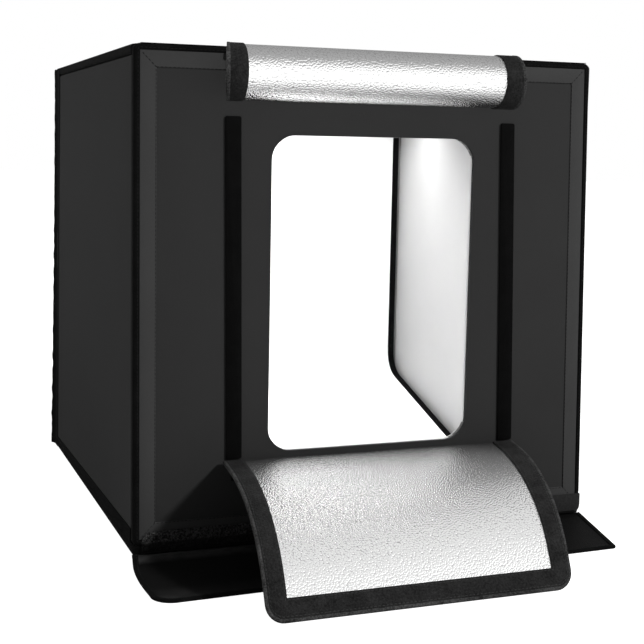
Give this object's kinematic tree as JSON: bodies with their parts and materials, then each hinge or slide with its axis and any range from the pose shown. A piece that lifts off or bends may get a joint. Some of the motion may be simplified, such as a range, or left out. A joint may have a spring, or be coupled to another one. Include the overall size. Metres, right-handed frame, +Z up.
{
  "type": "light tent cube",
  "caption": "Folding light tent cube with padded black panels, silver lining, front window with roll-up and drop-down flaps, white sweep backdrop, roof port and light bars.",
  "frame": {"origin": "centre of the underside of the floor panel, on the plane that the tent stands on", "axes": "+Z up, the front with its window and flaps faces -Y, +X to the right seen from the front"},
  "size_m": [0.4065, 0.5685, 0.4027],
  "materials": {
    "cover": "matte",
    "binding": "matte",
    "board": "matte",
    "silver": "gloss",
    "loop": "matte",
    "hook": "matte",
    "skirt": "satin",
    "white": "satin",
    "aluminium": "satin",
    "circuit": "matte",
    "diffuser": "satin"
  },
  "bodies": {
    "floor": {"floor_cover": "cover", "floor_board": "board", "floor_lining": "silver", "floor_binding": "binding"},
    "skirt": {"skirt_sheet": "skirt", "skirt_binding": "binding"},
    "back": {"back_cover": "cover", "back_board": "board", "back_lining": "silver", "back_binding": "binding", "backdrop_sheet": "white", "backdrop_left_tape": "binding", "backdrop_right_tape": "binding", "backdrop_hook_tape": "hook"},
    "left_wall": {"left_wall_cover": "cover", "left_wall_board": "board", "left_wall_lining": "silver", "left_wall_binding": "binding"},
    "right_wall": {"right_wall_cover": "cover", "right_wall_board": "board", "right_wall_lining": "silver", "right_wall_binding": "binding"},
    "roof": {"roof_cover": "cover", "roof_board": "board", "roof_lining": "silver", "roof_binding": "binding", "front_light_housing": "aluminium", "front_light_circuit": "circuit", "front_light_diffuser": "diffuser", "rear_light_housing": "aluminium", "rear_light_circuit": "circuit", "rear_light_diffuser": "diffuser", "port_loop_tape": "loop"},
    "port_lid": {"port_lid": "cover"},
    "front": {"front_cover": "cover", "front_board": "board", "front_lining": "silver", "front_binding": "binding", "left_loop_strip": "loop", "right_loop_strip": "loop", "lower_flap_root_tape": "binding", "upper_flap_welt": "binding", "upper_flap_drop": "cover"},
    "upper_flap": {"upper_flap_roll": "silver", "upper_flap_left_tape": "hook", "upper_flap_right_tape": "hook"},
    "lower_flap_1": {"lower_flap_sheet_1": "silver", "lower_flap_left_tape_1": "hook", "lower_flap_right_tape_1": "hook"},
    "lower_flap_2": {"lower_flap_sheet_2": "silver", "lower_flap_left_tape_2": "hook", "lower_flap_right_tape_2": "hook"},
    "lower_flap_3": {"lower_flap_sheet_3": "silver", "lower_flap_left_tape_3": "hook", "lower_flap_right_tape_3": "hook"},
    "lower_flap_4": {"lower_flap_sheet_4": "silver", "lower_flap_left_tape_4": "hook", "lower_flap_right_tape_4": "hook", "lower_flap_end_tape": "hook"}
  },
  "joints": [
    {"name": "skirt_fold", "type": "hinge", "parent": "floor", "child": "skirt", "pos_m": [0, -0.2003, 0.0028], "axis": [-1, 0, 0], "range_deg": [0, 28]},
    {"name": "back_fold", "type": "hinge", "parent": "floor", "child": "back", "pos_m": [0, 0.2, 0.00815], "axis": [-1, 0, 0], "range_deg": [0, 90]},
    {"name": "left_wall_fold", "type": "hinge", "parent": "back", "child": "left_wall", "pos_m": [-0.2, 0.19185, 0.2], "axis": [0, 0, -1], "range_deg": [0, 90]},
    {"name": "right_wall_fold", "type": "hinge", "parent": "back", "child": "right_wall", "pos_m": [0.2, 0.19185, 0.2], "axis": [0, 0, 1], "range_deg": [0, 90]},
    {"name": "roof_fold", "type": "hinge", "parent": "back", "child": "roof", "pos_m": [0, 0.2, 0.39185], "axis": [-1, 0, 0], "range_deg": [0, 90]},
    {"name": "port_lid_lift", "type": "hinge", "parent": "roof", "child": "port_lid", "pos_m": [0, 0.0643, 0.4019], "axis": [-1, 0, 0], "range_deg": [0, 165]},
    {"name": "front_lift", "type": "hinge", "parent": "roof", "child": "front", "pos_m": [0, -0.192, 0.4], "axis": [-1, 0, 0], "range_deg": [0, 90]},
    {"name": "upper_flap_unroll", "type": "slide", "parent": "front", "child": "upper_flap", "axis": [0, 0, -1], "range_m": [0, 0.09], "deforming": ["upper_flap_drop"]},
    {"name": "lower_flap_close", "type": "hinge", "parent": "front", "child": "lower_flap_1", "pos_m": [0, -0.203, 0.0716], "axis": [-1, 0, 0], "range_deg": [0, 91]},
    {"name": "lower_flap_straighten_2", "type": "hinge", "parent": "lower_flap_1", "child": "lower_flap_2", "pos_m": [0, -0.25024, 0.07078], "axis": [-1, 0, 0], "range_deg": [0, 11.5]},
    {"name": "lower_flap_straighten_3", "type": "hinge", "parent": "lower_flap_2", "child": "lower_flap_3", "pos_m": [0, -0.29638, 0.0606], "axis": [-1, 0, 0], "range_deg": [0, 17.5]},
    {"name": "lower_flap_straighten_4", "type": "hinge", "parent": "lower_flap_3", "child": "lower_flap_4", "pos_m": [0, -0.33736, 0.03708], "axis": [-1, 0, 0], "range_deg": [0, 20]}
  ],
  "couplings": [
    {"joint": "lower_flap_straighten_2", "follows": "lower_flap_close", "ratio": 0.12576},
    {"joint": "lower_flap_straighten_3", "follows": "lower_flap_close", "ratio": 0.19137},
    {"joint": "lower_flap_straighten_4", "follows": "lower_flap_close", "ratio": 0.21872}
  ]
}
